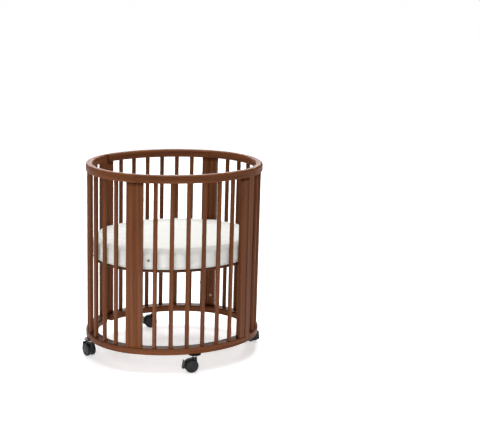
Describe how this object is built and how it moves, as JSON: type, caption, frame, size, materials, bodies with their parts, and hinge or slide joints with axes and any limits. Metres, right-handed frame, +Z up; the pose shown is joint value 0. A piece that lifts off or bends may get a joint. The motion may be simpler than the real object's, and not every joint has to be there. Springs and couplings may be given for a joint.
{
  "type": "baby crib",
  "caption": "Oval slatted wooden crib with a raised mattress, curved top rail and base ring, standing on swivel casters with brake pedals.",
  "frame": {"origin": "on the floor under the middle of the oval", "axes": "+X along the length of the oval, front towards -Y, +Z up"},
  "size_m": [0.8364, 0.6928, 0.88],
  "materials": {
    "walnut_rail": "satin walnut stain",
    "walnut_board": "satin walnut stain",
    "walnut_slat": "satin walnut stain",
    "stained_ply": "stained plywood",
    "mattress_cover": "woven cotton",
    "zinc_steel": "zinc plated",
    "caster_black": "fine texture",
    "wheel_black": "smooth"
  },
  "bodies": {
    "frame": {"top_rail_front": "walnut_rail", "top_rail_right": "walnut_rail", "top_rail_back": "walnut_rail", "top_rail_left": "walnut_rail", "base_ring_front": "walnut_rail", "base_ring_right": "walnut_rail", "base_ring_back": "walnut_rail", "base_ring_left": "walnut_rail", "board_front_left_side": "walnut_board", "board_front_left_end": "walnut_board", "board_front_right_side": "walnut_board", "board_front_right_end": "walnut_board", "board_back_right_side": "walnut_board", "board_back_right_end": "walnut_board", "board_back_left_side": "walnut_board", "board_back_left_end": "walnut_board", "slat_front_1": "walnut_slat", "slat_front_2": "walnut_slat", "slat_front_3": "walnut_slat", "slat_front_4": "walnut_slat", "slat_front_5": "walnut_slat", "slat_front_6": "walnut_slat", "slat_right_1": "walnut_slat", "slat_right_2": "walnut_slat", "slat_right_3": "walnut_slat", "slat_right_4": "walnut_slat", "slat_right_5": "walnut_slat", "slat_right_6": "walnut_slat", "slat_right_7": "walnut_slat", "slat_back_1": "walnut_slat", "slat_back_2": "walnut_slat", "slat_back_3": "walnut_slat", "slat_back_4": "walnut_slat", "slat_back_5": "walnut_slat", "slat_back_6": "walnut_slat", "slat_left_1": "walnut_slat", "slat_left_2": "walnut_slat", "slat_left_3": "walnut_slat", "slat_left_4": "walnut_slat", "slat_left_5": "walnut_slat", "slat_left_6": "walnut_slat", "slat_left_7": "walnut_slat", "support_brackets": "zinc_steel", "level_inserts": "zinc_steel", "connector_bolts": "zinc_steel", "caster_plates": "caster_black"},
    "fork_front": {"caster_fork_front": "caster_black"},
    "wheels_front": {"caster_wheels_front": "wheel_black"},
    "pedal_front": {"brake_pedal_front": "caster_black"},
    "fork_right": {"caster_fork_right": "caster_black"},
    "wheels_right": {"caster_wheels_right": "wheel_black"},
    "pedal_right": {"brake_pedal_right": "caster_black"},
    "fork_back": {"caster_fork_back": "caster_black"},
    "wheels_back": {"caster_wheels_back": "wheel_black"},
    "pedal_back": {"brake_pedal_back": "caster_black"},
    "fork_left": {"caster_fork_left": "caster_black"},
    "wheels_left": {"caster_wheels_left": "wheel_black"},
    "pedal_left": {"brake_pedal_left": "caster_black"},
    "base_board": {"mattress_base": "stained_ply"},
    "mattress": {"mattress": "mattress_cover"}
  },
  "joints": [
    {"name": "swivel_front", "type": "hinge", "parent": "frame", "child": "fork_front", "pos_m": [0, -0.3175, 0.06], "axis": [0, 0, 1], "continuous": true},
    {"name": "roll_front", "type": "hinge", "parent": "fork_front", "child": "wheels_front", "pos_m": [-0.015, -0.3175, 0.03], "axis": [0, 1, 0], "continuous": true},
    {"name": "brake_front", "type": "hinge", "parent": "fork_front", "child": "pedal_front", "pos_m": [-0.041, -0.3175, 0.04], "axis": [0, 1, 0], "range_deg": [0, 12]},
    {"name": "swivel_right", "type": "hinge", "parent": "frame", "child": "fork_right", "pos_m": [0.3875, 0, 0.06], "axis": [0, 0, 1], "continuous": true},
    {"name": "roll_right", "type": "hinge", "parent": "fork_right", "child": "wheels_right", "pos_m": [0.39164, -0.01442, 0.03], "axis": [-0.9613, -0.2756, 0], "continuous": true},
    {"name": "brake_right", "type": "hinge", "parent": "fork_right", "child": "pedal_right", "pos_m": [0.3988, -0.03941, 0.04], "axis": [-0.9613, -0.2756, 0], "range_deg": [0, 12]},
    {"name": "swivel_back", "type": "hinge", "parent": "frame", "child": "fork_back", "pos_m": [0, 0.3175, 0.06], "axis": [0, 0, 1], "continuous": true},
    {"name": "roll_back", "type": "hinge", "parent": "fork_back", "child": "wheels_back", "pos_m": [-0.015, 0.3175, 0.03], "axis": [0, 1, 0], "continuous": true},
    {"name": "brake_back", "type": "hinge", "parent": "fork_back", "child": "pedal_back", "pos_m": [-0.041, 0.3175, 0.04], "axis": [0, 1, 0], "range_deg": [0, 12]},
    {"name": "swivel_left", "type": "hinge", "parent": "frame", "child": "fork_left", "pos_m": [-0.3875, 0, 0.06], "axis": [0, 0, 1], "continuous": true},
    {"name": "roll_left", "type": "hinge", "parent": "fork_left", "child": "wheels_left", "pos_m": [-0.39164, 0.01442, 0.03], "axis": [0.9613, 0.2756, 0], "continuous": true},
    {"name": "brake_left", "type": "hinge", "parent": "fork_left", "child": "pedal_left", "pos_m": [-0.3988, 0.03941, 0.04], "axis": [0.9613, 0.2756, 0], "range_deg": [0, 12]},
    {"name": "base_lift", "type": "slide", "parent": "frame", "child": "base_board", "axis": [0, 0, 1], "range_m": [0, 0.28]},
    {"name": "mattress_lift", "type": "slide", "parent": "base_board", "child": "mattress", "axis": [0, 0, 1], "range_m": [0, 0.28]}
  ]
}
